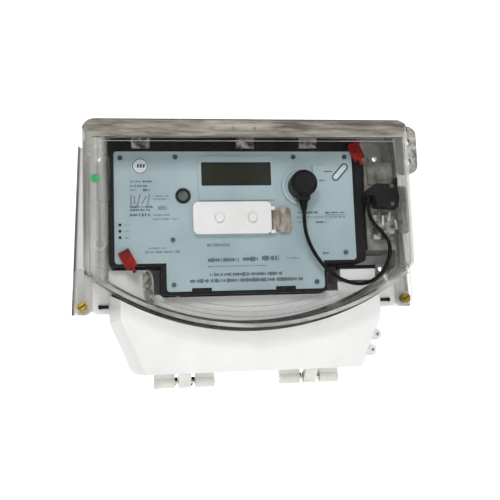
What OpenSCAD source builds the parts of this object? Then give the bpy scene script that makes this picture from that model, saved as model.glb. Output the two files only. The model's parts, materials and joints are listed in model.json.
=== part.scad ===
// Wall-mounted smart electricity meter sealed in a clear-fronted polycarbonate case.
// Origin: rear face, at the centre of the four wall fixings. +X right, +Z up, front faces -Y.
// Depths are measured from the wall plane towards the front.

/* [Case] */
// Width of the case across its side walls
case_w = 396; // [388:1:480]
// Height of the case top above the centre of the wall fixings
case_top = 102; // [100:1:124]
// Depth of the opaque rear tray
tray_d = 38; // [37:0.5:42]
// Depth of the clear cover's front face from the wall
cover_d = 118; // [114:1:145]
// Distance of the arched lower rim below the fixing centre
arc_low = 147.5; // [146:0.5:150]
// Rise of the arched rim from its middle to the side walls
arc_rise = 71; // [69:0.5:73]
// Distance of the terminal chamber's bottom below the fixing centre
chamber_low = 197; // [195:1:230]
// Depth of the terminal cover's front face
term_d = 88; // [86:1:100]
// Corner radius of the case
corner_r = 18; // [10:1:22]
// Wall of the rear tray
wall_t = 3; // [2.5:0.1:3.5]
// Wall of the clear cover
clear_t = 2.6; // [2:0.1:3]

/* [Wall fixings] */
// Distance of each fixing hole in from the side wall
fix_in = 16; // [14:0.5:18]
// Height between upper and lower fixings
fix_pitch_z = 148; // [140:1:150]
// Fixing hole diameter
fix_d = 6.5; // [5:0.5:7]

/* [Hinges and locks] */
// Hinge pin diameter, both covers
pin_d = 4; // [3:0.1:5]
// Radial running clearance in the moving knuckles
run_gap = 0.06; // [0.02:0.01:0.09]
// Sealing screw shank diameter
seal_screw_d = 5; // [4:0.1:6.2]
// Flap pin diameter
flap_pin_d = 2; // [1.5:0.1:2.5]

/* [Meter] */
// Width of the meter's upper part
meter_w = 310; // [306:1:314]
// Width of the meter's lower part
neck_w = 200; // [196:1:204]
// Depth of the meter's front from the wall
meter_d = 74; // [72:0.5:76]
// Display window width
lcd_w = 85; // [70:1:88]
// Display window height
lcd_h = 29; // [20:1:32]
// Push button diameter
button_d = 11; // [8:0.1:14]
// Distance between push buttons
button_pitch = 39.5; // [34:0.5:46]
// Push button travel
button_travel = 1.6; // [1:0.1:1.8]

/* [Reader] */
// Optical reading head diameter
head_d = 32; // [28:0.2:39]
// Reading lead diameter
lead_d = 4.6; // [4:0.1:5.6]

/* [Hidden] */
$fn = 96;

hw = case_w / 2;
arc_r = (hw * hw + arc_rise * arc_rise) / (2 * arc_rise);
arc_c = arc_r - arc_low;
function arc_z(x, r) = arc_c - sqrt(r * r - x * x);

rim_t = 5;
seam = 0.4;
cover_d0 = tray_d + seam;
flange_t = 3.6;
flange_in = 4;

chamber_r = 14;
chamber_top_w = hw - 29.5;
chamber_bot_w = hw - 50;
slope_z = -136;
shoulder_z = -124;
side_slope = atan((chamber_top_w - chamber_bot_w) / (slope_z + chamber_low - chamber_r));
draft = 18;
draft_d0 = tray_d + 4;
term_wall = 2.8;
arc_gap = 3.4;
entry_x = 34;
entry_d0 = 5;
entry_d1 = 75;
eyelets = [[chamber_top_w - 8.5, -159], [chamber_top_w - 15.5, -178]];
eyelet_r = 7;

fix_x = hw - fix_in;
fix_z = fix_pitch_z / 2;

top_axis_d = 30;
top_axis_z = case_top + 8;
top_knuckle_r = 5;
top_hinges = [-100, 100];
low_axis_d = 33;
low_axis_z = -chamber_low - 12;
low_knuckle_r = 7;
low_hinges = [-80, 74];

ear_x = hw + 2;
ear_z = -115;
boss_d0 = 12;
boss_x = -180;
boss_z = -37;

meter_x0 = -12 - meter_w / 2;
meter_x1 = -12 + meter_w / 2;
neck_x0 = -7 - neck_w / 2;
neck_x1 = -7 + neck_w / 2;
meter_top = 83;
wing_z = -71;
neck_z = -106;
meter_back = 22;
case_wall = 2.5;
plate_d = meter_d + 1.2;

lcd_x = -13.7;
lcd_z = 39;
port_x = 65;
port_z = 23;
block_x0 = -67.4;
block_x1 = 26.2;
block_z0 = -35;
block_z1 = 3.6;
block_d = plate_d + 8;
button_x = -16.5;
button_z = -16;
flap_axis_x = block_x1 + 3.4;
flap_axis_d = plate_d + 4.2;
flap_z0 = -34;
flap_z1 = -3;

modem_x0 = 147.5;
modem_x1 = hw - 14;
modem_z0 = -56;
modem_z1 = 54;
modem_d = 70;

module front(d0, d1) translate([0, -d0, 0]) rotate([90, 0, 0]) linear_extrude(height = d1 - d0) children();
module box(x0, x1, d0, d1, z0, z1) translate([x0, -d1, z0]) cube([x1 - x0, d1 - d0, z1 - z0]);
module peg(x, z, d0, d1, r) translate([x, -d0, z]) rotate([90, 0, 0]) cylinder(h = d1 - d0, r = r);
module rod_x(x0, x1, d, z, r) translate([x0, -d, z]) rotate([0, 90, 0]) cylinder(h = x1 - x0, r = r);
module rod_z(x, d, z0, z1, r) translate([x, -d, z0]) cylinder(h = z1 - z0, r = r);
module side(x0, x1) translate([x0, 0, 0]) rotate([90, 0, 90]) linear_extrude(height = x1 - x0) children();
module rrect(x0, x1, z0, z1, r) {
  translate([x0 + r, z0]) square([x1 - x0 - 2 * r, z1 - z0]);
  translate([x0, z0 + r]) square([x1 - x0, z1 - z0 - 2 * r]);
  for (x = [x0 + r, x1 - r], z = [z0 + r, z1 - r]) translate([x, z]) circle(r = r);
}

// Case outlines, pulled in by g
module arc_disc(g) translate([0, arc_c]) circle(r = arc_r - g, $fn = 360);
module case_outline(g) intersection() {
  rrect(-hw + g, hw - g, -arc_low - 40, case_top - g, corner_r - g);
  arc_disc(g);
}
module chamber_outline(g) {
  zb = -chamber_low;
  polygon([[-chamber_top_w + g, -78], [chamber_top_w - g, -78], [chamber_top_w - g, slope_z],
    [chamber_bot_w - g, zb + chamber_r], [chamber_bot_w - chamber_r, zb + g],
    [-chamber_bot_w + chamber_r, zb + g], [-chamber_bot_w + g, zb + chamber_r],
    [-chamber_top_w + g, slope_z]]);
  for (s = [-1, 1]) translate([s * (chamber_bot_w - chamber_r), zb + chamber_r]) circle(r = chamber_r - g);
}
module base_outline() {
  rrect(-hw, hw, shoulder_z, case_top, corner_r);
  chamber_outline(0);
}

// Knuckle positions
low_outer = [[-37, -12], [13, 36]];
low_mid = 7.5;
top_outer = [[-25, -9.5], [9.5, 25]];

wing_top = case_top - 14;
module wings() for (s = [-1, 1]) {
  front(8, 14) polygon([[s * (hw - 2), wing_top], [s * (hw + 8), wing_top],
    [s * (hw + 17), shoulder_z], [s * (hw - 2), shoulder_z]]);
  front(14, 20) polygon([[s * (hw + 6), wing_top], [s * (hw + 8), wing_top],
    [s * (hw + 17), shoulder_z], [s * (hw + 15), shoulder_z]]);
}

module base_tray() color("whitesmoke") difference() {
  union() {
    difference() {
      front(0, tray_d) base_outline();
      front(wall_t, tray_d + 1) case_outline(rim_t);
      front(wall_t, tray_d + 1) difference() {
        chamber_outline(wall_t);
        arc_disc(0);
      }
    }
    wings();
    front(8, 22) rrect(hw - 2, hw + 23, -29, 34, 6);
    for (s = [-1, 1]) peg(s * ear_x, ear_z, 8, tray_d, 10);
    for (s = [-1, 1], z = [fix_z, -fix_z]) peg(s * fix_x, z, 1, 8, 8.5);
    peg(boss_x, boss_z, 1, 28, 8.5);
    for (x = [meter_x0 + 20, meter_x1 - 20], z = [70, -50]) peg(x, z, 1, meter_back, 7);
    for (g = top_hinges, k = top_outer) {
      rod_x(g + k[0], g + k[1], top_axis_d, top_axis_z, top_knuckle_r);
      box(g + k[0], g + k[1], top_axis_d - 4.5, top_axis_d + 4.5, case_top - 1, top_axis_z);
    }
    for (g = low_hinges, k = low_outer) {
      rod_x(g + k[0], g + k[1], low_axis_d, low_axis_z, low_knuckle_r);
      box(g + k[0], g + k[1], low_axis_d - 6.5, low_axis_d + 4.7, low_axis_z, -chamber_low + 1);
    }
    // sealing eyelets beside the terminal chamber
    for (p = eyelets) peg(p[0], p[1], 30, 36, eyelet_r);
  }
  front(tray_d - 1.5, tray_d + 1) difference() {
    case_outline(1.6);
    case_outline(3.4);
  }
  box(neck_x0 - 1, neck_x1 + 1, 7, tray_d - 4, -arc_low - 1, neck_z - 12);
  for (s = [-1, 1], z = [fix_z, -fix_z]) peg(s * fix_x, z, -1, 9, fix_d / 2);
  peg(boss_x, boss_z, 4, 29, 2);
  box(-entry_x, entry_x, entry_d0, tray_d + 1, -chamber_low - 1, -chamber_low + wall_t + 1);
  rod_x(-hw, hw, top_axis_d, top_axis_z, pin_d / 2);
  rod_x(-hw, hw, low_axis_d, low_axis_z, pin_d / 2);
  for (s = [-1, 1]) peg(s * ear_x, ear_z, boss_d0, tray_d + 1, seal_screw_d / 2 + 2.8);
  for (p = eyelets) peg(p[0] + 2, p[1], 29, 37, 2);
}

module cover_gasket() color("dimgray") front(tray_d - 1.5, tray_d + 0.1) difference() {
  case_outline(1.6);
  case_outline(3.4);
}

module cover_hinge_pins() color("silver") for (g = top_hinges)
  rod_x(g - 25, g + 25, top_axis_d, top_axis_z, pin_d / 2);

module terminal_hinge_pins() color("silver") for (g = low_hinges)
  rod_x(g - 37, g + 37, low_axis_d, low_axis_z, pin_d / 2);

module screw_inserts() color("goldenrod") for (s = [-1, 1]) difference() {
  peg(s * ear_x, ear_z, boss_d0, tray_d - 0.5, seal_screw_d / 2 + 2.8);
  peg(s * ear_x, ear_z, boss_d0 + 2, tray_d + 1, seal_screw_d / 2 + 0.9);
}

module lock_pins() color("black") for (s = [-1, 1]) {
  x = s * (chamber_top_w + 7);
  rod_x(x - 6, x + 6, tray_d + 2.6, -116, 2);
  rod_x(x + s * 4 - 1.5, x + s * 4 + 1.5, tray_d + 2.6, -116, 2.6);
}

// Clear cover: a dome with bevelled top and side edges, pulled in by g
bevel_d = 12;
bevel_z = 25;
module top_bevel(g) {
  t = [-bevel_d, bevel_z] / norm([bevel_d, bevel_z]);
  n = [bevel_z, bevel_d] / norm([bevel_d, bevel_z]);
  a = [cover_d, case_top - flange_in - bevel_z] - n * g;
  p = [a - t * 40, a + t * 60, a + t * 60 + n * 50, a - t * 40 + n * 50];
  side(-hw - 1, hw + 1) polygon([for (q = p) [-q[0], q[1]]]);
}
module side_bevel(g) {
  t = [9, -14] / norm([9, 14]);
  n = [14, 9] / norm([9, 14]);
  a = [hw - flange_in - 9, cover_d] - n * g;
  p = [a - t * 30, a + t * 50, a + t * 50 + n * 40, a - t * 30 + n * 40];
  translate([0, 0, -260]) linear_extrude(height = 460) polygon([for (q = p) [q[0], -q[1]]]);
}
module dome(g, d0) difference() {
  front(d0, cover_d - g) case_outline(flange_in + g);
  top_bevel(g);
  side_bevel(g);
  mirror([1, 0, 0]) side_bevel(g);
}

module clear_cover() color("lightcyan") difference() {
  union() {
    difference() {
      union() {
        dome(0, cover_d0);
        front(cover_d0, cover_d0 + flange_t) case_outline(0);
        // thick lip along the arched rim
        front(cover_d - 5, cover_d) intersection() {
          difference() {
            arc_disc(0);
            arc_disc(6);
          }
          translate([-hw + 16, -arc_low - 5]) square([case_w - 32, 60]);
        }
      }
      dome(clear_t, cover_d0 - 1);
    }
    for (s = [-1, 1]) front(cover_d0, cover_d0 + 4)
      rrect(s * ear_x - 11, s * ear_x + 11, ear_z - 10, -70, 8);
    // hasp at the upper right
    front(52, 60) difference() {
      rrect(hw - 5.2, hw + 24, 42, 104, 12);
      for (z = [58, 84]) translate([hw + 11, z]) circle(r = 5);
    }
    // inner locating rib
    box(-127, -119, meter_d - 8, meter_d + 24, arc_z(-123, arc_r - flange_in - 2), -84);
    for (g = top_hinges) {
      rod_x(g - 9, g + 9, top_axis_d, top_axis_z, top_knuckle_r);
      side(g - 9, g + 9) polygon([[-top_axis_d, top_axis_z + 4.4], [-top_axis_d, case_top + 3.6],
        [-cover_d0 - 0.2, case_top + 2], [-cover_d0 - 0.2, case_top - 3], [-cover_d0 - 8, case_top - 5.5],
        [-cover_d0 - 8, case_top + 2], [-top_axis_d - 6, top_axis_z + 4.4]]);
    }
    // moulding marks on the top bevel
    for (x = [-45, -20, 5, 30]) translate([x, -cover_d + bevel_d / 2 - 0.4, case_top - flange_in - bevel_z / 2])
      sphere(r = 2);
  }
  for (g = top_hinges) rod_x(g - 12, g + 12, top_axis_d, top_axis_z, pin_d / 2 + run_gap);
  for (s = [-1, 1]) peg(s * ear_x, ear_z, tray_d, tray_d + 8, seal_screw_d / 2 + run_gap);
}

module inspection_sticker() color("mediumseagreen") peg(-hw + 19, 25, cover_d, cover_d + 0.3, 4.8);

// Slabs that lean the terminal cover's side walls inwards towards the front, pulled in by g
module side_draft(g) for (m = [0, 1], slope = [0, side_slope]) mirror([m, 0, 0])
  translate([chamber_top_w - g, -draft_d0, slope_z]) rotate([0, slope, 0]) rotate([0, 0, -draft])
  translate([0, -120, -150]) cube([90, 180, 300]);

module terminal_cover() color("white") difference() {
  union() {
    difference() {
      front(cover_d0, term_d) difference() {
        chamber_outline(0);
        arc_disc(-arc_gap);
      }
      side_draft(0);
      difference() {
        front(tray_d, term_d - term_wall) chamber_outline(term_wall);
        side_draft(term_wall);
      }
    }
    for (p = eyelets) peg(p[0], p[1], cover_d0, cover_d0 + 6, eyelet_r);
    for (g = low_hinges) {
      rod_x(g - low_mid, g + low_mid, low_axis_d, low_axis_z, low_knuckle_r);
      side(g - low_mid, g + low_mid) polygon([[-low_axis_d, low_axis_z + 5.5], [-cover_d0 - 0.3, -chamber_low - 2.5],
        [-cover_d0 - 0.3, -chamber_low + 1], [-cover_d0 - 15, -chamber_low + 1],
        [-cover_d0 - 15, -chamber_low - 2.5], [-low_axis_d - 6, low_axis_z - 3]]);
    }
  }
  for (g = low_hinges) rod_x(g - 14, g + 14, low_axis_d, low_axis_z, pin_d / 2 + run_gap);
  for (p = eyelets) peg(p[0] + 2, p[1], tray_d, tray_d + 9, 2);
  box(-entry_x, entry_x, tray_d, entry_d1, -chamber_low - 1, -chamber_low + 4);
}

module seal_screw(s) {
  d = cover_d0 + 4;
  difference() {
    union() {
      peg(s * ear_x, ear_z, 26, d + 1, seal_screw_d / 2);
      peg(s * ear_x, ear_z, d + 0.3, d + 7.3, seal_screw_d / 2 + 3.5);
    }
    box(s * ear_x - 8, s * ear_x + 8, d + 5.5, d + 8, ear_z - 0.8, ear_z + 0.8);
    rod_z(s * ear_x, d + 3.6, ear_z - 8, ear_z + 8, 0.9);
  }
}
module seal_screw_left() color("goldenrod") seal_screw(-1);
module seal_screw_right() color("goldenrod") seal_screw(1);

// Meter body outline, pulled in by g
module meter_outline(g) {
  rrect(meter_x0 + g, meter_x1 - g, wing_z + g, meter_top - g, 5 - g);
  rrect(neck_x0 + g, neck_x1 - g, neck_z + g, 0, 5 - g);
}
module plate_outline() {
  rrect(meter_x0 + 7, meter_x1 - 12, wing_z + 3, 67, 4);
  rrect(neck_x0 + 7, neck_x1 - 3, neck_z + 4, 0, 4);
}
module lcd_hole(g)
  rrect(lcd_x - lcd_w / 2 - g, lcd_x + lcd_w / 2 + g, lcd_z - lcd_h / 2 - g, lcd_z + lcd_h / 2 + g, 1.5);
lens_z = [-21.6, -29.2, -36.8];
lens_x = -153.5;
pulse_x = -78.6;
pulse_z = 12.5;
module front_holes() {
  for (z = lens_z) translate([lens_x, z]) circle(r = 1.8);
  translate([pulse_x, pulse_z]) circle(r = 3);
  translate([port_x, port_z]) circle(r = 5);
  for (s = [-1, 1]) translate([button_x + s * button_pitch / 2, button_z]) circle(r = 3);
}
screw_at = [[-152.3, 59], [-87, 60], [57.4, 60], [121.8, 60], [-91.7, -40.4], [-91.7, -94], [80.2, -94],
  [118, -59]];

module meter_case() color("#151517") difference() {
  front(meter_back, meter_d - 3) meter_outline(0);
  front(meter_back + case_wall, meter_d) meter_outline(case_wall);
  box(neck_x0 + 4, neck_x1 - 4, 26, 32, neck_z - 1, neck_z + 4);
}

module meter_front() color("#1b1b1d") difference() {
  front(meter_d - 3, meter_d) meter_outline(0);
  front(meter_d - 4, meter_d + 1) {
    lcd_hole(0.5);
    front_holes();
  }
}

module face_plate() color("lightslategray") difference() {
  front(meter_d, plate_d) plate_outline();
  front(meter_d - 1, plate_d + 1) {
    lcd_hole(0.5);
    front_holes();
  }
  for (p = screw_at) peg(p[0], p[1], meter_d - 1, plate_d + 1, 1.6);
}

module face_screws() color("dimgray") for (p = screw_at) difference() {
  union() {
    peg(p[0], p[1], meter_d, plate_d + 0.1, 1.6);
    peg(p[0], p[1], plate_d, plate_d + 1.4, 2.9);
  }
  box(p[0] - 2, p[0] + 2, plate_d + 0.8, plate_d + 2, p[1] - 0.4, p[1] + 0.4);
}

module case_clips() color("gainsboro") for (x = [-128, -2, 76]) {
  box(x - 11, x + 11, meter_d, meter_d + 3, 71, 80);
  box(x - 11, x + 11, meter_d - 16, meter_d + 3, meter_top, meter_top + 2.4);
  box(x - 11, x + 11, meter_d, meter_d + 3, 79, meter_top + 1);
}

module emblem_disc() color("whitesmoke") difference() {
  peg(-129, 49, plate_d, plate_d + 0.8, 10);
  front(plate_d + 0.4, plate_d + 1) translate([-129, 49]) difference() {
    circle(r = 8);
    circle(r = 6.6);
  }
}

module lcd_bezel() color("slategray") difference() {
  front(plate_d, plate_d + 1.6) rrect(lcd_x - 46, lcd_x + 46, lcd_z - 32.3, lcd_z + 21.8, 3);
  front(plate_d - 1, plate_d + 2) lcd_hole(0);
}

module lcd_window() color("#202624") front(plate_d - 2, plate_d + 0.6) lcd_hole(0);

module lcd_panel() color("#2a302c") {
  box(lcd_x - lcd_w / 2 - 3, lcd_x + lcd_w / 2 + 3, meter_d - 8, meter_d - 3.4, lcd_z - lcd_h / 2 - 3,
    lcd_z + lcd_h / 2 + 3);
  box(lcd_x - lcd_w / 2, lcd_x + lcd_w / 2, 57.6, meter_d - 7.9, lcd_z - lcd_h / 2, lcd_z + lcd_h / 2);
}

flange_d0 = plate_d + 0.3 + button_travel + 0.3;
module button_block() color("white") difference() {
  union() {
    front(plate_d, block_d) rrect(block_x0, block_x1, block_z0, block_z1, 6);
    // lugs that carry the flap pin
    for (z = [flap_z0 - 0.6, flap_z1 - 3.4]) difference() {
      union() {
        rod_z(flap_axis_x, flap_axis_d, z, z + 4, 2.4);
        box(block_x1 - 1, flap_axis_x, flap_axis_d - 2.2, flap_axis_d + 2.2, z, z + 4);
      }
      rod_z(flap_axis_x, flap_axis_d, z - 1, z + 5, flap_pin_d / 2);
    }
  }
  for (s = [-1, 1]) {
    x = button_x + s * button_pitch / 2;
    peg(x, button_z, plate_d - 1, flange_d0 + 1.6 + 0.3, button_d / 2 + 2.4);
    peg(x, button_z, plate_d, block_d + 1, button_d / 2 + 0.08);
  }
}

module button(s) {
  x = button_x + s * button_pitch / 2;
  peg(x, button_z, flange_d0 + 1, block_d + 3.2, button_d / 2);
  translate([x, -block_d - 3.2, button_z]) rotate([90, 0, 0])
    cylinder(h = 0.8, r1 = button_d / 2, r2 = button_d / 2 - 1);
  peg(x, button_z, flange_d0, flange_d0 + 1.5, button_d / 2 + 2);
  peg(x, button_z, 64.2 + button_travel + 0.4, flange_d0 + 1, 2.4);
}
module button_left() color("white") button(-1);
module button_right() color("white") button(1);

module tact_switches() color("black") for (s = [-1, 1]) {
  x = button_x + s * button_pitch / 2;
  box(x - 3, x + 3, 57.6, 62, button_z - 3, button_z + 3);
  peg(x, button_z, 61, 64.2, 1.7);
}

module flap() color("tan") {
  z0 = flap_z0 + 4;
  z1 = flap_z1 - 4;
  difference() {
    union() {
      rod_z(flap_axis_x, flap_axis_d, z0, z1, 1.9);
      box(flap_axis_x, flap_axis_x + 5, flap_axis_d - 0.9, flap_axis_d + 0.9, z0, z1);
      front(flap_axis_d - 0.9, flap_axis_d + 1.3)
        rrect(flap_axis_x + 3.4, flap_axis_x + 21, flap_z0, flap_z1, 6);
      front(plate_d + 0.6, flap_axis_d) difference() {
        rrect(flap_axis_x + 3.4, flap_axis_x + 21, flap_z0, flap_z1, 6);
        rrect(flap_axis_x + 5, flap_axis_x + 19.4, flap_z0 + 1.6, flap_z1 - 1.6, 4.4);
      }
    }
    rod_z(flap_axis_x, flap_axis_d, z0 - 1, z1 + 1, flap_pin_d / 2 + 0.05);
  }
}

module flap_pin() color("silver")
  rod_z(flap_axis_x, flap_axis_d, flap_z0 - 0.6, flap_z1 + 0.6, flap_pin_d / 2);

module status_lenses() color("#0c0c0c") for (z = lens_z) {
  peg(lens_x, z, 66, plate_d + 0.5, 1.7);
  peg(lens_x, z, 66, meter_d - 3, 2.4);
}

module pulse_ring() color("#24282a") difference() {
  peg(pulse_x, pulse_z, plate_d, plate_d + 1.5, 9.2);
  peg(pulse_x, pulse_z, plate_d - 1, plate_d + 2, 6);
}

module pulse_lens() color("firebrick") {
  peg(pulse_x, pulse_z, 64, plate_d + 0.8, 2.9);
  peg(pulse_x, pulse_z, plate_d, plate_d + 0.8, 5.9);
}

port_r = head_d / 2 + 7.5;
module optical_port() color("slategray") difference() {
  union() {
    peg(port_x, port_z, plate_d, plate_d + 3, port_r);
    box(port_x + port_r - 8, port_x + port_r + 6, plate_d, plate_d + 3, port_z + 8, port_z + 26);
  }
  peg(port_x, port_z, plate_d + 1.2, plate_d + 4, head_d / 2 + 0.4);
  peg(port_x, port_z, plate_d - 1, plate_d + 2, 6);
}

module port_steel_plate() color("silver") difference() {
  peg(port_x, port_z, plate_d + 1.2, plate_d + 1.9, head_d / 2 + 0.2);
  peg(port_x, port_z, plate_d, plate_d + 3, 6);
}

head_d0 = plate_d + 1.9;
head_d1 = head_d0 + 25;
module reader_head() color("#0d0b0b") difference() {
  union() {
    peg(port_x, port_z, head_d0, head_d1 - 4, head_d / 2);
    translate([port_x, -head_d1 + 4, port_z]) rotate([90, 0, 0])
      cylinder(h = 4, r1 = head_d / 2, r2 = head_d / 2 - 4);
    box(port_x - 7, port_x + 7, head_d0 + 6, head_d1 - 6, port_z - head_d / 2 - 4, port_z);
  }
  peg(port_x, port_z, head_d0 - 1, head_d0 + 7, head_d / 2 - 2.4);
}

module reader_magnet() color("silver") difference() {
  peg(port_x, port_z, head_d0, head_d0 + 7, head_d / 2 - 2.4);
  peg(port_x, port_z, head_d0 - 1, head_d0 + 8, 6);
}

lead_z0 = port_z - head_d / 2 - 4;
module reader_boot() color("#0b0b0c") difference() {
  translate([port_x, -head_d0 - 12.5, lead_z0 - 12]) cylinder(h = 12, r1 = lead_d / 2 + 0.9, r2 = 5.4);
  rod_z(port_x, head_d0 + 12.5, lead_z0 - 13, lead_z0 - 6, lead_d / 2);
}

// Reading lead: route in x, depth, z
lead_route = [
  [port_x, 89.6, lead_z0 - 6], [port_x, 89.6, lead_z0 - 16], [65, 90.5, -27], [67, 91, -40],
  [72, 91, -54], [80, 90.5, -68], [91, 90, -81], [106, 89, -92], [124, 88, -98], [141, 87, -97],
  [155, 86, -89], [165, 86, -76], [170, 86, -62], [169, 87, -49], [162, 88, -38], [153, 89, -28],
  [147, 89.5, -18], [144.5, 89.5, -8], [144.5, 89.5, 0]];
lead_n = 8;
function unit(v) = v / norm(v);
function smooth(p) = [for (i = [0 : len(p) - 1])
  each (i == 0 || i == len(p) - 1) ? [p[i]] : [(p[i - 1] + 3 * p[i]) / 4, (3 * p[i] + p[i + 1]) / 4]];
lead_path = [for (p = smooth(lead_route)) [p[0], -p[1], p[2]]];
function tangent(p, i) = unit(p[min(i + 1, len(p) - 1)] - p[max(i - 1, 0)]);
module sweep(path, r, n) {
  m = len(path);
  rings = [for (i = [0 : m - 1])
    let (t = tangent(path, i), u = unit(cross(t, [0, 1, 0])), v = cross(u, t))
    [for (k = [0 : n - 1]) path[i] + r * (cos(360 * k / n) * u + sin(360 * k / n) * v)]];
  first_end = [for (k = [0 : n - 1]) k];
  last_end = [for (k = [n - 1 : -1 : 0]) (m - 1) * n + k];
  walls = [for (i = [0 : m - 2], k = [0 : n - 1])
    [i * n + k, (i + 1) * n + k, (i + 1) * n + (k + 1) % n, i * n + (k + 1) % n]];
  polyhedron(points = [for (q = rings) each q], faces = concat([first_end], walls, [last_end]));
}
module reader_lead() color("#0e0d0d") sweep(lead_path, lead_d / 2, lead_n);

plug_d0 = modem_d + 8.2;
module plug_boot() color("#0b0b0c") difference() {
  translate([144.5, -89.5, -4]) cylinder(h = 11, r1 = lead_d / 2 + 0.9, r2 = 4.8);
  rod_z(144.5, 89.5, -5, 0, lead_d / 2);
}

module plug_body() color("#101012") front(plug_d0, plug_d0 + 20)
  polygon([[139, 7], [151, 7], [154, -6], [modem_x1 - 4, -8], [modem_x1 - 2, 4], [modem_x1 - 4, 20],
    [154, 22], [146, 17]]);

module plug_screws() color("silver") for (z = [-4, 18]) {
  peg(modem_x1 - 12, z, plug_d0 + 20, plug_d0 + 22, 2.6);
}

module modem_socket() color("silver") box(154, modem_x1 - 3, modem_d, plug_d0, -5, 19);

module modem_case() color("#6a6a64") difference() {
  box(modem_x0, modem_x1, wall_t, modem_d - 2.5, modem_z0, modem_z1);
  box(modem_x0 + 2, modem_x1 - 2, wall_t + 2, modem_d, modem_z0 + 2, modem_z1 - 2);
}

module modem_front() color("#77776f") {
  box(modem_x0, modem_x1, modem_d - 2.5, modem_d, modem_z0, modem_z1);
  box(modem_x0 + 4, modem_x1 - 4, modem_d, modem_d + 2.4, 26, modem_z1 - 4);
}

module modem_board() color("darkgreen")
  box(modem_x0 + 2, modem_x1 - 2, 40, 41.6, modem_z0 + 4, modem_z1 - 4);
module modem_shield_can() color("silver") box(modem_x0 + 6, modem_x1 - 6, 41.6, 46, 14, 42);

module modem_terminals() color("gainsboro") {
  box(modem_x0 + 5, modem_x1 - 4, modem_d, modem_d + 9, -44, -14);
  for (z = [-38, -29, -20]) peg(modem_x1 - 12, z, modem_d + 9, modem_d + 10.4, 3);
}

module modem_antenna() color("black") {
  rod_z(modem_x0 + 12, 30, -20, 46, 3);
  box(modem_x0 + 10.6, modem_x0 + 13.4, 30, 40, -20, -16);
}

aux_x0 = 112;
aux_x1 = 156;
module aux_cover() color("white") difference() {
  box(aux_x0, aux_x1, wall_t, 66, -92, -78.5);
  box(aux_x0 + 2.5, aux_x1 - 2.5, 2, 63.5, -89.5, -81);
}
module aux_gasket() color("#1a1a1a") box(aux_x0 - 1, aux_x1 + 1, 50, 67, -78.5, -74);

// White shelf beside the meter, with a deck that fills the space under the meter
deck_d0 = 56;
deck_d1 = 59;
deck_leg_x = [-113, 101];
notch_w = 17;
notch_z = -104;
module side_shelf() color("whitesmoke") difference() {
  union() {
    box(-163, -128, wall_t, deck_d1 - 1, -86, -74);
    front(deck_d0, deck_d1) intersection() {
      arc_disc(10);
      translate([-hw + 30, -arc_low]) square([hw - 30 + aux_x1 + 2, arc_low - 74]);
    }
    for (x = deck_leg_x) peg(x, -109, wall_t, deck_d0 + 1, 3.5);
  }
  box(-160, -131, 2, deck_d0 - 2, -83, -77);
  front(deck_d0 - 1, deck_d1 + 1) meter_outline(-1.5);
  for (x = [neck_x0 - notch_w, neck_x1]) box(x, x + notch_w, deck_d0 - 1, deck_d1 + 1, notch_z, -70);
  box(aux_x0 - 2.5, aux_x1 + 2.5, deck_d0 - 1, deck_d1 + 1, -93.5, -70);
}

module side_boss_screw() color("silver") difference() {
  union() {
    peg(boss_x, boss_z, 6, 28.1, 2);
    peg(boss_x, boss_z, 28, 31, 4.5);
  }
  box(boss_x - 4, boss_x + 4, 29.8, 32, boss_z - 0.6, boss_z + 0.6);
}

// Plastic seals on the two corner screws
module seal(x, z, a) translate([x, -plate_d, z]) rotate([0, a, 0]) {
  translate([-11, -6.6, -7]) cube([22, 5, 14]);
  rotate([90, 0, 0]) cylinder(h = 9.1, r = 5);
  translate([10, -5, -2]) cube([8, 2, 4]);
}
seal_a = [-145, -63];
seal_b = [136, 66];
module seal_left() color("firebrick") seal(seal_a[0], seal_a[1], 62);
module seal_right() color("firebrick") seal(seal_b[0], seal_b[1], 68);
module seal_wires() color("silver") for (p = [seal_a, seal_b])
  translate([p[0], -plate_d - 0.75, p[1]]) rotate([90, 0, 0])
  rotate_extrude() translate([6, 0]) circle(r = 0.7, $fn = 24);

module main_board() color("darkgreen") difference() {
  box(meter_x0 + 8, meter_x1 - 8, 56, 57.6, -58, 76);
  for (x = [meter_x0 + 20, meter_x1 - 20], z = [70, -50]) peg(x, z, 55, 59, 2);
}
module transformer() color("goldenrod") {
  box(90, 128, 30, 56, -20, 20);
  box(94, 124, 26, 56, -24, 24);
}
module backup_battery() color("seagreen") rod_x(-150, -100, 47.5, -46, 8.5);

term_x = [for (i = [0 : 7]) -98 + 26 * i];
module current_sensors() color("royalblue") for (x = [term_x[0], term_x[2], term_x[4]]) difference() {
  box(x - 6.4, x + 6.4, meter_back + case_wall, 38, -82, -66);
  rod_z(x, 29, -83, -65, 4);
}

module busbars() color("peru") for (x = term_x) box(x - 3, x + 3, 27.5, 30.5, -162, -60);

term_z0 = -186;
term_z1 = -154;
module terminal_block() color("whitesmoke") difference() {
  union() {
    box(-117, 103, wall_t, 66, term_z0, term_z1);
    box(-106, 92, 9, 33.5, term_z1 - 1, neck_z);
  }
  for (x = term_x) {
    box(x - 8, x + 8, 26, 60, term_z0 - 1, -162);
    box(x - 3, x + 3, 27.5, 30.5, -163, neck_z + 1);
    for (z = [-181, -169]) peg(x, z, 59, 67, 4.4);
  }
}

module terminal_clamps() color("goldenrod") for (x = term_x) difference() {
  box(x - 8, x + 8, 26, 60, term_z0, -162);
  rod_z(x, 38, term_z0 - 1, -161, 5);
  for (z = [-181, -169]) peg(x, z, 44, 61, 2.5);
}

module terminal_screws() color("silver") for (x = term_x, z = [-181, -169]) difference() {
  union() {
    peg(x, z, 46, 62, 2.5);
    peg(x, z, 60, 63.5, 3.9);
  }
  box(x - 3, x + 3, 62.3, 64, z - 0.5, z + 0.5);
}

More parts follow.
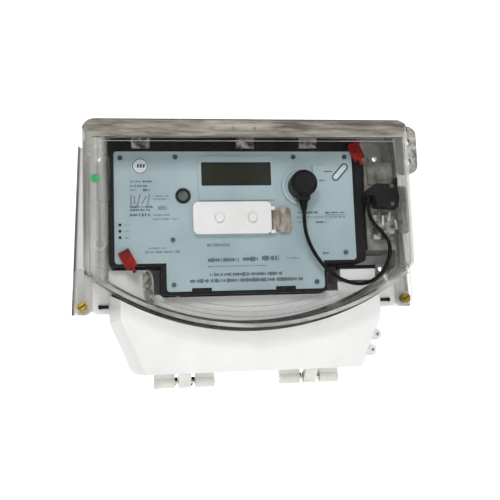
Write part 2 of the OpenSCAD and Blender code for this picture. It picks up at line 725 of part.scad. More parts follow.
base_tray();
cover_gasket();
cover_hinge_pins();
terminal_hinge_pins();
screw_inserts();
lock_pins();
clear_cover();
inspection_sticker();
terminal_cover();
seal_screw_left();
seal_screw_right();
meter_case();
meter_front();
face_plate();
face_screws();
case_clips();
emblem_disc();
lcd_bezel();
lcd_window();
lcd_panel();
button_block();
button_left();
button_right();
tact_switches();
flap();
flap_pin();
status_lenses();
pulse_ring();
pulse_lens();
optical_port();
port_steel_plate();
reader_head();
reader_magnet();
reader_boot();
reader_lead();
plug_boot();
plug_body();
plug_screws();
modem_socket();
modem_case();
modem_front();
modem_board();
modem_shield_can();
modem_terminals();
modem_antenna();
aux_cover();
aux_gasket();
side_shelf();
side_boss_screw();
seal_left();
seal_right();
seal_wires();
main_board();
transformer();
backup_battery();
current_sensors();
busbars();
terminal_block();
terminal_clamps();
terminal_screws();
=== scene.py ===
"""Looks of a wall-mounted smart electricity meter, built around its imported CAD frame."""
import json
import math
import random

import bpy
from mathutils import Matrix, Vector


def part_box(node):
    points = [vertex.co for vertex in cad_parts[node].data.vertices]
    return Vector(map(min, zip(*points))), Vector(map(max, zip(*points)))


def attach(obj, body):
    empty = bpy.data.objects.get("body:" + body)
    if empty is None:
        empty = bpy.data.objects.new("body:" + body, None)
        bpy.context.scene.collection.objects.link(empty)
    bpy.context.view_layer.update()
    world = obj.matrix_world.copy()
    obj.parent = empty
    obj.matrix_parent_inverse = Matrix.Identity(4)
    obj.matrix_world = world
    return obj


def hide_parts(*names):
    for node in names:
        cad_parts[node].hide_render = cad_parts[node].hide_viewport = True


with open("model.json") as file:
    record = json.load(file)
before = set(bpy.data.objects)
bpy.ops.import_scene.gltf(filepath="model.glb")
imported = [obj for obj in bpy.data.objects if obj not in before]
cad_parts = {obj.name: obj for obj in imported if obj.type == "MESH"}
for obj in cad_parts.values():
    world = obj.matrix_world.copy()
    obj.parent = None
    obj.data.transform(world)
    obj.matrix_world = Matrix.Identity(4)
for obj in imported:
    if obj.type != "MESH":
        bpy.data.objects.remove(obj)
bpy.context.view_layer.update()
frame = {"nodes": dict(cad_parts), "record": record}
nodes = frame["nodes"]
random.seed(7)

# Places are given in millimetres as x, depth from the wall, z, and turned into frame metres.
MM = 0.001


def at(x, depth, z):
    return Vector((x * MM, -depth * MM, z * MM))


def low(node, axis):
    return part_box(node)[0][axis] / MM


def high(node, axis):
    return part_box(node)[1][axis] / MM


GASKET_IN = 1.6
CASE_HALF = high("cover_gasket", 0) + GASKET_IN
CASE_TOP = high("cover_gasket", 2) + GASKET_IN
ARC_LOW = -low("cover_gasket", 2) + GASKET_IN
ARC_RISE = 71.0
ARC_R = (CASE_HALF ** 2 + ARC_RISE ** 2) / (2 * ARC_RISE)
ARC_C = ARC_R - ARC_LOW
CORNER_R = 18.0
FRONT_D = 118.0
FLANGE_D = 42.0
PLATE_D = -low("face_plate", 1)
BEVEL_DROP = 29.0
BEVEL_Z = CASE_TOP - BEVEL_DROP

# ---------------------------------------------------------------- camera
AIM = Vector((0.0, -0.075, -0.054))
DISTANCE = 0.9
AZIMUTH, ELEVATION, ROLL = (math.radians(v) for v in (-8, -7, -2))
back = Vector((math.sin(AZIMUTH) * math.cos(ELEVATION), -math.cos(AZIMUTH) * math.cos(ELEVATION),
               math.sin(ELEVATION)))
flat_right = Vector((math.cos(AZIMUTH), math.sin(AZIMUTH), 0.0))
flat_up = flat_right.cross(-back)
right = flat_right * math.cos(ROLL) + flat_up * math.sin(ROLL)
up = flat_up * math.cos(ROLL) - flat_right * math.sin(ROLL)
cam_data = bpy.data.cameras.new("camera")
cam_data.sensor_width = 36.0
cam_data.lens = 54.0
cam_data.clip_start = 0.01
camera = bpy.data.objects.new("camera", cam_data)
bpy.context.scene.collection.objects.link(camera)
camera.matrix_world = Matrix.Translation(AIM + back * DISTANCE) @ Matrix((
    (right.x, up.x, back.x, 0), (right.y, up.y, back.y, 0), (right.z, up.z, back.z, 0), (0, 0, 0, 1)))
bpy.context.scene.camera = camera


# ---------------------------------------------------------------- material helpers
def new_mat(name):
    m = bpy.data.materials.new(name)
    m.use_nodes = True
    return m, m.node_tree, m.node_tree.nodes["Principled BSDF"]


def coords(nt, scale):
    tex = nt.nodes.new("ShaderNodeTexCoord")
    place = nt.nodes.new("ShaderNodeMapping")
    place.inputs["Scale"].default_value = scale if hasattr(scale, "__len__") else (scale,) * 3
    nt.links.new(tex.outputs["Object"], place.inputs["Vector"])
    return place.outputs["Vector"]


def noise(nt, scale, detail=6.0, rough=0.55):
    n = nt.nodes.new("ShaderNodeTexNoise")
    n.inputs["Scale"].default_value = 1.0
    n.inputs["Detail"].default_value = detail
    n.inputs["Roughness"].default_value = rough
    nt.links.new(coords(nt, scale), n.inputs["Vector"])
    return n.outputs["Fac"]


def spread(nt, fac, to_low, to_high, from_low=0.3, from_high=0.7):
    r = nt.nodes.new("ShaderNodeMapRange")
    limits = {"From Min": from_low, "From Max": from_high, "To Min": to_low, "To Max": to_high}
    for key, value in limits.items():
        r.inputs[key].default_value = value
    nt.links.new(fac, r.inputs["Value"])
    return r.outputs["Result"]


def mix(nt, fac, a, b):
    m = nt.nodes.new("ShaderNodeMix")
    m.data_type = "RGBA"
    m.inputs[6].default_value = (*a, 1)
    m.inputs[7].default_value = (*b, 1)
    nt.links.new(fac, m.inputs[0])
    return m.outputs[2]


def times(nt, a, b):
    m = nt.nodes.new("ShaderNodeMath")
    m.operation = "MULTIPLY"
    m.use_clamp = True
    nt.links.new(a, m.inputs[0])
    nt.links.new(b, m.inputs[1])
    return m.outputs[0]


def bump(nt, bsdf, fac, strength, distance):
    b = nt.nodes.new("ShaderNodeBump")
    b.inputs["Strength"].default_value = strength
    b.inputs["Distance"].default_value = distance
    nt.links.new(fac, b.inputs["Height"])
    nt.links.new(b.outputs["Normal"], bsdf.inputs["Normal"])


def plastic(name, dark, light, rough=(0.3, 0.45), grain=900, strength=0.08, patch=18, shine=0.5):
    """Moulded plastic: two tones in patches, uneven roughness and a fine grain."""
    m, nt, bsdf = new_mat(name)
    nt.links.new(mix(nt, spread(nt, noise(nt, patch), 0, 1), dark, light), bsdf.inputs["Base Color"])
    nt.links.new(spread(nt, noise(nt, patch * 2.3), *rough), bsdf.inputs["Roughness"])
    bsdf.inputs["Specular IOR Level"].default_value = shine
    bump(nt, bsdf, noise(nt, grain, 3), strength, 0.0003)
    return m


def metal(name, dark, light, rough=(0.25, 0.42), stretch=(2500, 2500, 90)):
    """Bare metal with drawn streaks."""
    m, nt, bsdf = new_mat(name)
    streak = noise(nt, stretch, 4)
    nt.links.new(mix(nt, spread(nt, noise(nt, 60), 0, 1), dark, light), bsdf.inputs["Base Color"])
    nt.links.new(spread(nt, streak, *rough), bsdf.inputs["Roughness"])
    bsdf.inputs["Metallic"].default_value = 1.0
    bump(nt, bsdf, streak, 0.15, 0.0002)
    return m


FROST_FADE = 7


def margin(nt, edge, alpha):
    """Alpha of a frosted margin on the left of a clear wall, from x = edge outwards."""
    tex = nt.nodes.new("ShaderNodeTexCoord")
    parts = nt.nodes.new("ShaderNodeSeparateXYZ")
    nt.links.new(tex.outputs["Object"], parts.inputs[0])
    return spread(nt, parts.outputs["X"], alpha, 0.0, edge * MM, (edge + FROST_FADE) * MM)


def clear(name, dark, light, facing, grazing, rough=0.05, streaks=(8, 8, 8), wave=0.04, frost=None):
    """Clear moulded plastic: bright and thin face on, dense where it is seen along the wall."""
    m, nt, bsdf = new_mat(name)
    lw = nt.nodes.new("ShaderNodeLayerWeight")
    lw.inputs["Blend"].default_value = 0.5
    base = spread(nt, lw.outputs["Facing"], facing, grazing, 0.1, 0.95)
    if frost:
        add = nt.nodes.new("ShaderNodeMath")
        add.operation = "ADD"
        nt.links.new(base, add.inputs[0])
        nt.links.new(margin(nt, *frost), add.inputs[1])
        base = add.outputs[0]
    flow = noise(nt, streaks, 5)
    nt.links.new(times(nt, base, spread(nt, flow, 0.75, 1.3)), bsdf.inputs["Alpha"])
    nt.links.new(mix(nt, spread(nt, flow, 0, 1, 0.38, 0.62), dark, light), bsdf.inputs["Base Color"])
    nt.links.new(spread(nt, noise(nt, 80), rough, rough + 0.08), bsdf.inputs["Roughness"])
    bsdf.inputs["IOR"].default_value = 1.58
    bump(nt, bsdf, noise(nt, 45, 2), wave, 0.0006)
    return m


# ---------------------------------------------------------------- materials
WHITE = plastic("white_polycarbonate", (0.66, 0.66, 0.65), (0.73, 0.73, 0.72), (0.3, 0.42), 1400, 0.05)
IVORY = plastic("ivory_polycarbonate", (0.52, 0.52, 0.47), (0.64, 0.64, 0.59), (0.32, 0.45), 1200,
                0.08, patch=40)
RUBBER = plastic("black_rubber", (0.0015, 0.001, 0.001), (0.004, 0.0035, 0.0035), (0.4, 0.6), 1600,
                 0.2, shine=0.1)
STEEL = metal("zinc_steel", (0.42, 0.42, 0.41), (0.66, 0.66, 0.64))
DARK_STEEL = metal("blackened_steel", (0.05, 0.06, 0.06), (0.12, 0.13, 0.13), (0.35, 0.5))
BRASS = metal("sealing_brass", (0.42, 0.30, 0.05), (0.80, 0.60, 0.15), (0.22, 0.36))
OLD_BRASS = metal("tarnished_brass", (0.13, 0.11, 0.01), (0.28, 0.23, 0.04), (0.3, 0.45))
BLACK = plastic("black_moulding", (0.003, 0.003, 0.0035), (0.008, 0.008, 0.008), (0.35, 0.5), 1800, 0.12,
                shine=0.14)
PLATE = plastic("face_plate_blue_grey", (0.24, 0.325, 0.35), (0.34, 0.44, 0.465), (0.4, 0.55),
                1500, 0.06, patch=11)
BEZEL = plastic("bezel_blue_grey", (0.26, 0.35, 0.38), (0.34, 0.435, 0.46), (0.35, 0.5), 1500,
                0.06, patch=15)
PRINT = plastic("black_print", (0.02, 0.03, 0.035), (0.06, 0.08, 0.09), (0.5, 0.7), 2000, 0.05, patch=300)
FAINT_PRINT = plastic("grey_print", (0.09, 0.12, 0.14), (0.17, 0.23, 0.25), (0.5, 0.7), 2000, 0.05,
                      patch=300)
SEAL_RED = plastic("seal_red", (0.07, 0.001, 0.0005), (0.34, 0.006, 0.002), (0.18, 0.32), 500, 0.2,
                   patch=90,
                   shine=0.25)
CLEAR_FRONT = clear("clear_front", (0.42, 0.42, 0.40), (0.66, 0.66, 0.63), 0.004, 0.5,
                    streaks=(110, 20, 7),
                    frost=(-173, 0.34))
CLEAR_BAND = clear("clear_top_band", (0.15, 0.135, 0.105), (0.44, 0.42, 0.36), 0.66, 0.95,
                   streaks=(14, 60, 90),
                   wave=0.25)
CLEAR_SIDE = clear("clear_side", (0.30, 0.30, 0.27), (0.66, 0.66, 0.62), 0.22, 0.6,
                   streaks=(90, 60, 10), wave=0.2)
CLEAR_RIM = clear("clear_rim", (0.34, 0.34, 0.32), (0.56, 0.56, 0.54), 0.4, 0.75, streaks=(10, 60, 60))
# painted shade: near-black clear material for the cover's edges and outline lines, where refraction makes
# the clear plastic look dark
CLEAR_EDGE_SHADE = clear("clear_painted_edge_shade", (0.03, 0.03, 0.028), (0.08, 0.08, 0.075), 0.75, 0.95,
                   streaks=(30, 30, 30))
CLEAR_LUG = clear("clear_lug", (0.09, 0.085, 0.07), (0.50, 0.49, 0.44), 0.7, 0.95,
                  streaks=(120, 120, 120),
                  wave=0.4)
MODEM = plastic("modem_grey", (0.06, 0.058, 0.046), (0.26, 0.25, 0.22), (0.28, 0.45), 1400, 0.1, patch=75)

MATS = {
    "white_pc": WHITE,
    "rubber": RUBBER,
    "steel": STEEL,
    "brass": BRASS,
    "black_plastic": BLACK,
    "clear": CLEAR_FRONT,
    "clear_grey": CLEAR_LUG,
    "flap": clear("warm_clear_flap", (0.24, 0.20, 0.16), (0.46, 0.42, 0.36), 0.7, 0.95,
                  streaks=(150, 150, 60)),
    "sticker": plastic("green_paper", (0.01, 0.19, 0.04), (0.025, 0.34, 0.08), (0.5, 0.7), 2000,
                       0.1, patch=200),
    "plate": PLATE,
    "emblem": plastic("badge_print", (0.42, 0.49, 0.52), (0.58, 0.64, 0.66), (0.4, 0.5), 1500,
                      0.05, patch=120),
    "window": plastic("display_glass", (0.010, 0.012, 0.007), (0.021, 0.026, 0.017), (0.12, 0.2),
                      300, 0.02, patch=14,
                      shine=0.25),
    "lcd": plastic("display_cell", (0.03, 0.035, 0.03), (0.04, 0.046, 0.04), (0.2, 0.3), 800, 0.03),
    "red_lens": plastic("dark_red_lens", (0.05, 0.06, 0.065), (0.14, 0.15, 0.16), (0.1, 0.2), 300,
                        0.02, patch=150),
    "grey_plastic": MODEM,
    "board": plastic("board_green", (0.01, 0.08, 0.03), (0.02, 0.12, 0.05), (0.3, 0.4), 600, 0.1),
    "red_plastic": SEAL_RED,
    "copper": metal("tinned_copper", (0.55, 0.28, 0.16), (0.75, 0.42, 0.27)),
    "battery": plastic("battery_sleeve", (0.05, 0.25, 0.12), (0.08, 0.32, 0.16), (0.25, 0.35), 900, 0.03),
    "blue_plastic": plastic("sensor_blue", (0.02, 0.06, 0.25), (0.03, 0.09, 0.32), (0.35, 0.5),
                            1200, 0.1),
}

SLOT = {s["node"]: s["material_slot"] for s in frame["record"]["subparts"]}
for name, obj in nodes.items():
    obj.data.materials.clear()
    obj.data.materials.append(MATS[SLOT[name]])
    obj.data.polygons.foreach_set("material_index", [0] * len(obj.data.polygons))
for name, mat in (("face_screws", DARK_STEEL), ("seal_screw_right", OLD_BRASS), ("lcd_bezel", BEZEL),
                  ("optical_port", BEZEL), ("side_boss_screw", DARK_STEEL), ("plug_screws", DARK_STEEL)):
    nodes[name].data.materials[0] = mat


def by_face(node, rules):
    """Give faces of a node another material where a rule on their middle and normal holds."""
    mesh = nodes[node].data
    first = len(mesh.materials)
    for mat, rule in rules:
        mesh.materials.append(mat)
    for face in mesh.polygons:
        c = face.center / MM
        for k, (mat, rule) in enumerate(rules):
            if rule(c.x, -c.y, c.z, face.normal):
                face.material_index = first + k
                break


by_face("clear_cover", [
    (CLEAR_LUG, lambda x, d, z, n: 44 < d < 62 and x > CASE_HALF - 1 and 40 < z < CASE_TOP + 4),
    (CLEAR_BAND, lambda x, d, z, n: z > BEVEL_Z - 8 and abs(n.z) > 0.3 and d > 44),
    (CLEAR_SIDE, lambda x, d, z, n: d > 44 and abs(n.x) > 0.3),
    (CLEAR_RIM, lambda x, d, z, n: z < -60 and abs(n.z) > 0.5 and d > 44),
    # the flange's side faces get the painted edge shade
    (CLEAR_EDGE_SHADE, lambda x, d, z, n: d < 44 and abs(n.y) < 0.5 and abs(x) < CASE_HALF + 4 and z > -74),
    (CLEAR_SIDE, lambda x, d, z, n: d < 44),
])
# painted shade: near-black on the outer lip faces of the white tray's wings, where the edges fall dark
WING_EDGE_SHADE = plastic("wing_painted_edge_shade", (0.035, 0.032, 0.030), (0.10, 0.095, 0.09), (0.25, 0.4), 700,
                    0.1, patch=70)
by_face("base_tray", [
    (CLEAR_LUG, lambda x, d, z, n: x > CASE_HALF - 1 and abs(z - 2.5) < 35 and d > 8),
    # the wings' outer lip faces get the painted edge shade
    (WING_EDGE_SHADE, lambda x, d, z, n: abs(x) > CASE_HALF + 5.2 and z > -104 and d > 14.2),
    (IVORY, lambda x, d, z, n: z < -198 or (abs(x) > 150 and z < -150 and d < 38 and d > 28)),
])
by_face("terminal_cover", [(IVORY, lambda x, d, z, n: z < -198.5)])

# soft edges on the moulded pieces
SOFT_EDGE = 0.5
SOFT_ANGLE = math.radians(40)
for name in ("base_tray", "terminal_cover", "button_block", "aux_cover", "side_shelf", "modem_case",
             "modem_front", "plug_body", "lcd_bezel", "seal_left", "seal_right", "optical_port",
             "terminal_block"):
    mod = nodes[name].modifiers.new("soft_edge", "BEVEL")
    mod.width = SOFT_EDGE * MM
    mod.segments = 2
    mod.limit_method = "ANGLE"
    mod.angle_limit = SOFT_ANGLE


# ---------------------------------------------------------------- piece helpers
def keep(obj, mat, body):
    obj.data.materials.append(mat)
    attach(obj, body)
    return obj


def tube(name, points, r, mat, body, closed=False):
    """A round bar along points in millimetres."""
    data = bpy.data.curves.new(name, "CURVE")
    data.dimensions = "3D"
    data.bevel_depth = r * MM
    data.bevel_resolution = 4
    data.use_fill_caps = not closed
    line = data.splines.new("POLY")
    line.points.add(len(points) - 1)
    for p, q in zip(line.points, points):
        p.co = (*at(*q), 1)
    line.use_cyclic_u = closed
    line.use_smooth = True
    obj = bpy.data.objects.new(name, data)
    bpy.context.scene.collection.objects.link(obj)
    return keep(obj, mat, body)


def tile(name, outlines, d0, d1, mat, body, soft=0.0):
    """Flat pieces standing from depth d0 to d1, one for each outline of x, z points."""
    verts, faces = [], []
    for outline in outlines:
        n, k = len(outline), len(verts)
        verts += [at(x, d1, z) for x, z in outline] + [at(x, d0, z) for x, z in outline]
        faces.append([k + i for i in range(n)])
        faces.append([k + n + i for i in reversed(range(n))])
        faces += [[k + i, k + n + i, k + n + (i + 1) % n, k + (i + 1) % n] for i in range(n)]
    mesh = bpy.data.meshes.new(name)
    mesh.from_pydata(verts, [], faces)
    mesh.update()
    obj = bpy.data.objects.new(name, mesh)
    bpy.context.scene.collection.objects.link(obj)
    if soft:
        mod = obj.modifiers.new("soft_edge", "BEVEL")
        mod.width = soft * MM
        mod.segments = 3
    return keep(obj, mat, body)


def ring_points(cx, cz, r, start=0, end=360, n=48):
    return [(cx + r * math.cos(math.radians(start + (end - start) * i / n)),
             cz + r * math.sin(math.radians(start + (end - start) * i / n))) for i in range(n)]


def capsule(cx, cz, length, width, turn, n=10):
    """Outline of a slot with round ends, its long side turned from +X."""
    r, half = width / 2, (length - width) / 2
    ends = [(half, -90), (-half, 90)]
    t = math.radians(turn)
    out = []
    for shift, a0 in ends:
        for i in range(n + 1):
            a = math.radians(a0 + 180 * i / n)
            u, v = shift + r * math.cos(a), r * math.sin(a)
            out.append((cx + u * math.cos(t) - v * math.sin(t), cz + u * math.sin(t) + v * math.cos(t)))
    return out


def smooth_line(points, steps=8):
    """Catmull-Rom curve through the points."""
    pts = [Vector(p) for p in points]
    pts = [pts[0] * 2 - pts[1]] + pts + [pts[-1] * 2 - pts[-2]]
    out = []
    for a, b, c, d in zip(pts, pts[1:], pts[2:], pts[3:]):
        for i in range(steps):
            t = i / steps
            out.append(0.5 * (2 * b + (c - a) * t + (2 * a - 5 * b + 4 * c - d) * t ** 2
                              + (3 * b - a - 3 * c + d) * t ** 3))
    return out + [pts[-2]]


# ---------------------------------------------------------------- reading lead
LEAD_D = 4.6
LEAD_ROUTE = [
    (65, 89.6, -3), (65, 89.6, -13), (65, 90.5, -27), (67, 91, -40), (72, 91, -54), (80, 90.5, -68),
    (91, 90, -81), (106, 89, -92), (124, 88, -98), (141, 87, -97), (155, 86, -89), (165, 86, -76),
    (170, 86, -62), (169, 87, -49), (162, 88, -38), (153, 89, -28), (147, 89.5, -18), (144.5, 89.5, -8),
    (144.5, 89.5, 0)]
lead_line = smooth_line(LEAD_ROUTE)
lead = tube("reading_lead", lead_line, LEAD_D / 2, RUBBER, "case")
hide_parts("reader_lead")
# ribs round the boot, each a little wider than the one below it
BOOT_RIBS = 4
RIB_PITCH = 2.4
BOOT_X, BOOT_D = LEAD_ROUTE[0][:2]
for k in range(BOOT_RIBS):
    z = low("reader_boot", 2) + 2.2 + RIB_PITCH * k
    rib_r = 3.4 + 0.45 * k
    tube(f"boot_rib_{k}", [(x, d, z) for x, d in ring_points(BOOT_X, BOOT_D, rib_r, n=24)],
         0.55, RUBBER, "case", True)

# ---------------------------------------------------------------- front plate print
PRINT_D0, PRINT_D1 = PLATE_D - 0.05, PLATE_D + 0.12
# share of strip gaps that are as wide as the space between two words
SPACE_SHARE = 0.16


def words(x0, x1, z, height, gap=0.35):
    """Broken strips that stand for a row of print, without any letters."""
    out = []
    x = x0
    while x < x1:
        w = min(random.uniform(0.7, 1.5), x1 - x)
        h = 1.45 * height * random.choice((0.6, 0.8, 1.0))
        out.append([(x, z - h / 2), (x + w, z - h / 2), (x + w, z + h / 2), (x, z + h / 2)])
        x += w + (random.uniform(1.2, 2.0) if random.random() < SPACE_SHARE else gap)
    return out


def rows(name, table, mat):
    """Rows of print, each given as its left end, right end, height on the plate and strip height."""
    outlines = []
    for x0, x1, z, height in table:
        outlines += words(x0, x1, z, height)
    tile(name, outlines, PRINT_D0, PRINT_D1, mat, "case")


rows("print_left", [
    (-141, -114, 30.4, 1.8), (-141, -121, 25, 1.6), (-141, -134, 20.2, 1.6), (-126, -118, 20, 2.2),
    (-141.4, -114.5, -0.4, 1.8), (-141.5, -118, -4, 1.6), (-141.6, -118, -10, 2.4)], PRINT)
rows("print_left_faint", [
    (-114, -94, 12.6, 1.4), (-114.3, -94.2, 9, 1.4), (-108.6, -98, -1.8, 4), (-114.6, -94.6, -10.3, 1.8),
    (-114.7, -85.2, -15.2, 1.8), (-147.6, -141.8, -21.8, 1.4), (-147.7, -141.9, -29, 1.4),
    (-147.8, -142, -37.2, 1.4), (-124.8, -83.8, -54.6, 2.2), (-120, -100, -50, 1.6)], FAINT_PRINT)
rows("print_right", [
    (60.6, 85.5, -9.2, 1.8), (94.2, 119.4, -9.6, 1.8), (82.4, 94.9, -21.2, 1.8), (89.4, 98.1, -59.4, 1.8)],
    PRINT)
rows("print_right_faint", [
    (59.1, 119.1, -15, 1.8), (58.8, 71.2, -20.8, 1.6), (94, 119, -12.4, 1.2)], FAINT_PRINT)
rows("print_bottom", [
    (-50.8, -13.7, -65.4, 3.6), (-8.9, 9.3, -64.9, 4.4), (14.2, 34.9, -64.2, 4.6), (-48.9, 37.8, -82.8, 3),
    (-72.8, 63.1, -90, 3.2)], PRINT)
rows("print_bottom_faint", [(-51.5, -24, -47.4, 3), (44, 60, -64.6, 1.6), (-51, 20, -73, 1.2)], FAINT_PRINT)
# a small symbol block, a thin rule from the reading head and a slanted slot-shaped mark
tile("symbol_bars", [[(x, 0.7 + s), (x + 1.6, 0.7 + s), (x + 1.6 + k, 15.4 - s), (x + k, 15.4 - s)]
                     for x, s, k in ((-141, 0, 0), (-137, 2, 0), (-134, 0, 4), (-128, 3, 5), (-122, 0, 3))],
     PRINT_D0, PRINT_D1, FAINT_PRINT, "case")
tile("rule_line", [[(79.7, 41.2), (106, 41.2), (106, 42.4), (79.7, 42.4)]],
     PRINT_D0, PRINT_D1, PRINT, "case")
for key, length, width, lift, mat in (("outer", 27, 9.5, 0, PRINT),
                                      ("inner", 23, 5.8, 0.1, MATS["emblem"])):
    tile(f"slot_mark_{key}", [capsule(115.5, 41, length, width, 48)],
         PRINT_D0, PRINT_D1 + lift, mat, "case")
BADGE_X, BADGE_Z = -129, 49
tube("badge_ring", [(x, PLATE_D + 0.8, z) for x, z in ring_points(BADGE_X, BADGE_Z, 8.8)],
     0.55, PRINT, "case", True)
tile("badge_bars", [[(x, 47), (x + 2.4, 47), (x + 3.4, 51.5), (x + 1, 51.5)]
                    for x in (-133, -129.6, -126.2)], PLATE_D + 0.75, PLATE_D + 0.92, PRINT, "case")
# dark moulding notches at the plate's lower edge
tile("plate_notches", [[(-70.7, -103), (-47.1, -103), (-47.1, -98.2), (-70.7, -98.2)],
                       [(29.8, -103), (54.1, -103), (54.1, -98.2), (29.8, -98.2)]],
     PRINT_D0, PLATE_D + 0.3, BLACK, "case", 0.1)
# raised half collar round the reading head
PORT_X, PORT_Z = 65.0, 23.0
tube("port_collar", [(x, PLATE_D + 3.1, z) for x, z in ring_points(PORT_X, PORT_Z, 21.5, 95, 255)], 1.0,
     MATS["emblem"], "case")

# ---------------------------------------------------------------- clear cover lines
def top_edge(inset, depth):
    """Top edge of the case with its two round corners, pulled in by inset."""
    hw, top, r = CASE_HALF - inset, CASE_TOP - inset, CORNER_R - inset
    out = [(x, depth, z) for x, z in ring_points(hw - r, top - r, r, 0, 90, 10)]
    return out + [(x, depth, z) for x, z in ring_points(-hw + r, top - r, r, 90, 180, 10)]


SIDE_FOOT = ARC_C - math.sqrt(ARC_R ** 2 - CASE_HALF ** 2)
OUTLINE_IN = 0.9
OUTLINE_D = FLANGE_D - 0.4
# dark tubes along the cover outline, the dome's top edge and the bevel foot: painted shade where the clear
# edges look dark
tube("cover_outline", [(CASE_HALF - OUTLINE_IN, OUTLINE_D, SIDE_FOOT), *top_edge(OUTLINE_IN, OUTLINE_D),
                       (OUTLINE_IN - CASE_HALF, OUTLINE_D, SIDE_FOOT)], 0.8, CLEAR_EDGE_SHADE, "clear_cover_body")
tube("dome_top_edge", top_edge(4.4, 106), 0.8, CLEAR_EDGE_SHADE, "clear_cover_body")
tube("bevel_foot_line", [(x, FRONT_D - 0.6, BEVEL_Z) for x in (-183, -90, 0, 90, 183)], 0.7, CLEAR_EDGE_SHADE,
     "clear_cover_body")
tube("bevel_inner_line", [(x, FRONT_D - 4, BEVEL_Z - 3.4) for x in (-176, -90, 0, 90, 176)], 0.5, CLEAR_RIM,
     "clear_cover_body")


def arc_band(name, r0, r1, d0, d1, half, mat):
    n = 60
    inner, outer = [], []
    for i in range(n + 1):
        a = -half + 2 * half * i / n
        inner.append((r0 * math.sin(a), ARC_C - r0 * math.cos(a)))
        outer.append((r1 * math.sin(a), ARC_C - r1 * math.cos(a)))
    quads = [[inner[i], inner[i + 1], outer[i + 1], outer[i]] for i in range(n)]
    return tile(name, quads, d0, d1, mat, "clear_cover_body")


RIM_GREY = clear("clear_rim_edge", (0.26, 0.26, 0.25), (0.42, 0.42, 0.40), 0.75, 0.95,
                 streaks=(20, 60, 60))
arc_band("rim_edge", ARC_R - 4.4, ARC_R - 0.2, FRONT_D - 0.1, FRONT_D + 0.15, 0.62, RIM_GREY)
# fainter moulding lines behind the arched foot, each shorter and deeper than the last
for k, (inset, r) in enumerate(((13, 0.7), (19, 0.5), (26, 0.6))):
    half, reach, depth = 0.42 - 0.05 * k, ARC_R - inset, FRONT_D - 22 - 10 * k
    swing = [-half + 2 * half * i / 40 for i in range(41)]
    tube(f"foot_line_{k}", [(reach * math.sin(a), depth, ARC_C - reach * math.cos(a)) for a in swing],
         r, CLEAR_RIM, "clear_cover_body")

# moulded slot and rib on the cover's left side, seen through its front, drawn as dark lines of painted edge
# shade
tube("side_slot", [(x, 100, z) for x, z in capsule(-171, 29, 57, 13, 90)],
     0.9, CLEAR_EDGE_SHADE, "clear_cover_body", True)
tube("side_rib", [(-176, 84, 2), (-176.3, 84, -20), (-176.6, 84, -46)], 1.3, CLEAR_EDGE_SHADE, "clear_cover_body")
tube("side_rib_upper", [(-187, 96, 66), (-181, 98, 70), (-176, 99, 62)],
     1.1, CLEAR_EDGE_SHADE, "clear_cover_body")
# two small capsules at the cover's upper-left corner: the brass one stands for a brass insert with its
# glint, the pale one is a painted highlight
for k, (x, z) in enumerate(((-186, 55), (-179, 64))):
    tile(f"corner_glint_{k}", [capsule(x, z, 4.4, 3.2, 20)], 108, 109.4,
         BRASS if k == 0 else MATS["emblem"], "clear_cover_body", 0.5)
# clear lug where the rim meets the left side
tile("rim_lug", [capsule(-179, -80, 19, 15, 65)], 88, 93, CLEAR_LUG, "clear_cover_body", 1.2)
# looped clear rib at the lower left of the cover
LOOP_D = 92
LOOP_OUTER = [(-127, -80), (-127, -98), (-125.5, -108), (-119, -118), (-115, -121)]
LOOP_INNER = [(-127, -80), (-122, -77.5), (-118, -82), (-116.4, -92), (-116.2, -106), (-113.5, -119)]
LOOP_WEB = [(-126, -82), (-118, -82), (-117, -106), (-115, -119), (-119, -117), (-125.4, -106)]
for name, line, r, mat in (("loop_rib", LOOP_OUTER, 1.2, CLEAR_LUG),
                           ("loop_rib_inner", LOOP_INNER, 0.9, CLEAR_RIM)):
    tube(name, [(x, LOOP_D, z) for x, z in line], r, mat, "clear_cover_body")
tile("loop_rib_web", [LOOP_WEB], LOOP_D - 2, LOOP_D - 1, CLEAR_LUG, "clear_cover_body")
# black tiles behind the gaps between the lower hinge knuckles: painted shade where the gaps fall dark
LOW_HINGES = (-80, 74)
GAP_X = 10.4
for g in LOW_HINGES:
    for side in (-1, 1):
        x = g + side * GAP_X
        shade_outline = [(x - 2.4, -203.5), (x + 2.4, -203.5), (x + 2.4, -208), (x - 1.2, -214), (x - 2.4, -214)]
        tile(f"hinge_gap_shade_{g}_{side}", [shade_outline], 22, 27, BLACK, "case", 0.4)
# driving slots and washers on the two sealing screws
for s_name in ("left", "right"):
    head = f"seal_screw_{s_name}"
    front_d = -low(head, 1)
    hx = (low(head, 0) + high(head, 0)) / 2
    hz = (low(head, 2) + high(head, 2)) / 2
    tile(f"{head}_slot", [capsule(hx, hz, 8.5, 1.3, 35)],
         front_d - 0.1, front_d + 0.12, BLACK, f"{head}_body")
    tube(f"{head}_ring", [(x, front_d, z) for x, z in ring_points(hx, hz, 4.6)],
         0.45, OLD_BRASS, f"{head}_body", True)
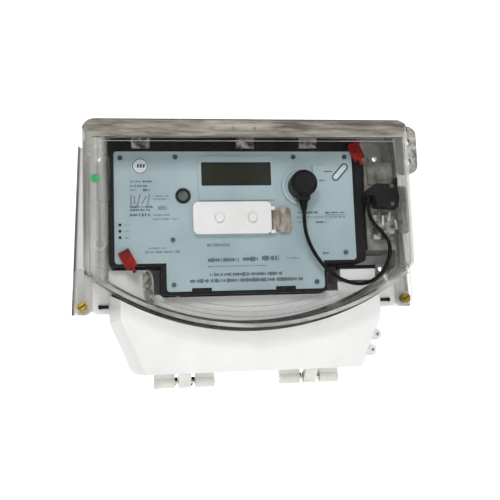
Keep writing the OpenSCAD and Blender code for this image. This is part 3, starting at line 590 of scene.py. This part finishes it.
# latch standing up from the plug, and bright contact tabs below it
tile("plug_latch", [[(177, 17), (182, 17), (183, 29), (180.5, 31), (178, 24)]], 80, 92, BLACK, "case", 0.5)
for k in range(6):
    x, z = 161 + 4.1 * k, -10 - 5.2 * (k % 3)
    tab = capsule(x, z - 6, 15 - 2 * (k % 2), 3.2, 78 + 9 * (k % 3))
    tile(f"contact_tab_{k}", [tab], 79.5, 81.2 + 0.6 * (k % 2), STEEL if k % 2 else CLEAR_LUG, "case", 0.5)

# ---------------------------------------------------------------- stage
def plane(name, size, loc, rot, mat):
    bpy.ops.mesh.primitive_plane_add(size=size, location=loc, rotation=rot)
    o = bpy.context.object
    o.name = name
    o.data.materials.append(mat)
    return o


floor_mat = plastic("pale_floor", (0.9, 0.9, 0.9), (0.94, 0.94, 0.94), (0.7, 0.9), 300, 0.02)
floor_bsdf = floor_mat.node_tree.nodes["Principled BSDF"]
floor_bsdf.inputs["Emission Color"].default_value = (1, 1, 1, 1)
floor_bsdf.inputs["Emission Strength"].default_value = 0.6
ROOM_SIZE = 14
plane("floor", ROOM_SIZE, (0, 0, -0.9), (0, 0, 0), floor_mat)
plane("backdrop", ROOM_SIZE, (0, 4, 4), (math.pi / 2, 0, 0), floor_mat)

world = bpy.data.worlds.new("studio")
bpy.context.scene.world = world
world.use_nodes = True
world.node_tree.nodes["Background"].inputs["Color"].default_value = (1, 1, 1, 1)
world.node_tree.nodes["Background"].inputs["Strength"].default_value = 0.34
bpy.context.scene.view_settings.view_transform = "Standard"


def area(name, loc, aim, size, power):
    data = bpy.data.lights.new(name, "AREA")
    data.size = size
    data.energy = power
    o = bpy.data.objects.new(name, data)
    bpy.context.scene.collection.objects.link(o)
    o.location = loc
    o.rotation_euler = (Vector(aim) - Vector(loc)).to_track_quat("-Z", "Y").to_euler()
    return o


area("key", (-0.45, -1.9, 1.0), (0, -0.06, 0), 0.6, 21)
area("fill", (0.6, -1.9, -0.5), (0, -0.06, 0), 1.4, 9)
